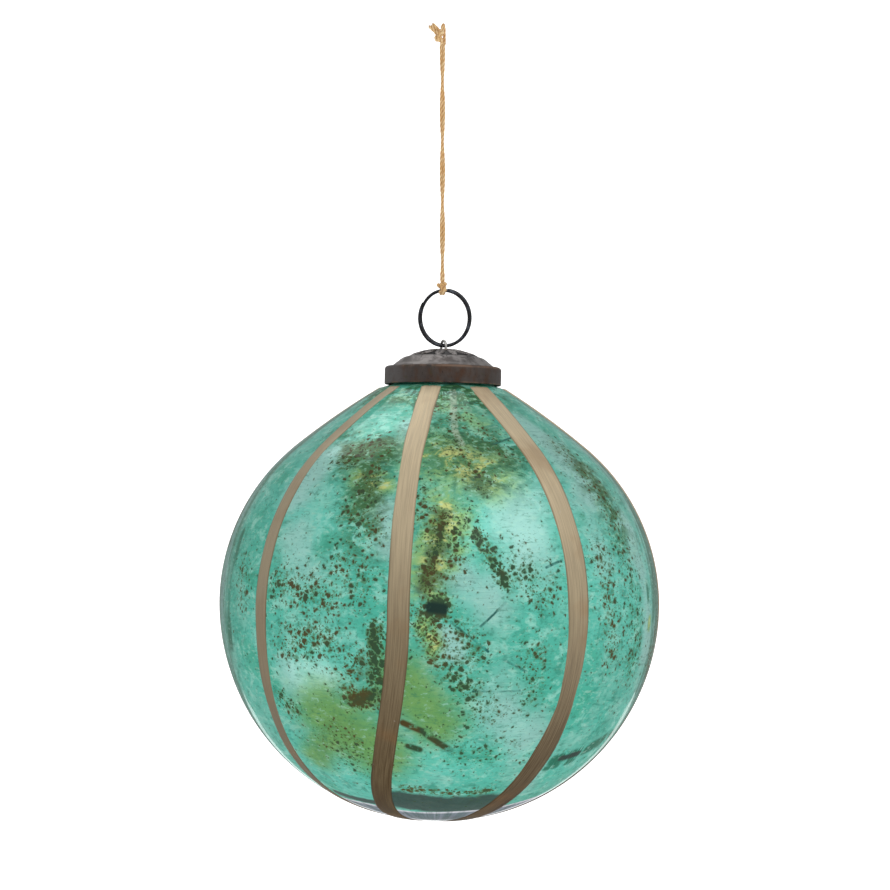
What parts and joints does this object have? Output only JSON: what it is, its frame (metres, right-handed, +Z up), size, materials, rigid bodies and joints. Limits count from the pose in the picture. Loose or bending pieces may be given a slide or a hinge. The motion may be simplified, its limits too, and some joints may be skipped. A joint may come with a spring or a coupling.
{
  "type": "glass ball ornament",
  "caption": "Blown glass ball with painted stripes, a metal neck cap, an eyelet and a split ring, hung from a knotted twisted cord loop; the ring, eyelet and ball swing and turn.",
  "frame": {"origin": "the inside of the cord's top loop, where a hook carries the ornament", "axes": "+Z up along the hanging cord, -Y the front, +X to the right of the front view"},
  "size_m": [0.128, 0.1278, 0.2311],
  "materials": {
    "glass": "glossy tinted glass over an aged silver lining, opaque",
    "silvering": "aged mirror coat",
    "stripe_paint": "brushed metallic paint, satin",
    "cap_bronze": "antique bronze patina",
    "cap_pewter": "aged pewter, pressed relief",
    "cement": "set cement, matte",
    "ring_wire": "blackened steel wire",
    "eyelet_wire": "bright steel wire",
    "cord": "twisted two-ply twine"
  },
  "bodies": {
    "hanging_cord": {"cord_leg_a": "cord", "cord_leg_b": "cord", "top_knot": "cord", "cord_tail_1": "cord", "cord_tail_2": "cord"},
    "hitch": {"hitch_throat": "cord"},
    "ring": {"split_ring": "ring_wire", "hitch_wrap": "cord"},
    "eyelet": {"eyelet": "eyelet_wire"},
    "ornament": {"glass_ball": "glass", "silvered_lining": "silvering", "cap_band": "cap_bronze", "cap_dome": "cap_pewter", "cap_cement": "cement", "stripe_1": "stripe_paint", "stripe_2": "stripe_paint", "stripe_3": "stripe_paint", "stripe_4": "stripe_paint", "stripe_5": "stripe_paint", "stripe_6": "stripe_paint", "stripe_7": "stripe_paint", "stripe_8": "stripe_paint"}
  },
  "joints": [
    {"name": "cord_sway", "type": "hinge", "parent": "hanging_cord", "child": "hitch", "pos_m": [-0.0003, 0, -0.0747], "axis": [0, 1, 0], "range_deg": [-45, 45]},
    {"name": "ring_swing", "type": "hinge", "parent": "hitch", "child": "ring", "pos_m": [-0.0003, 0, -0.0747], "axis": [1, 0, 0], "range_deg": [-60, 60]},
    {"name": "ring_fold", "type": "hinge", "parent": "ring", "child": "eyelet", "pos_m": [0, 0, -0.093], "axis": [1, 0, 0], "range_deg": [-75, 75]},
    {"name": "ornament_spin", "type": "hinge", "parent": "eyelet", "child": "ornament", "pos_m": [0, 0, -0.093], "axis": [0, 0, 1], "continuous": true}
  ]
}
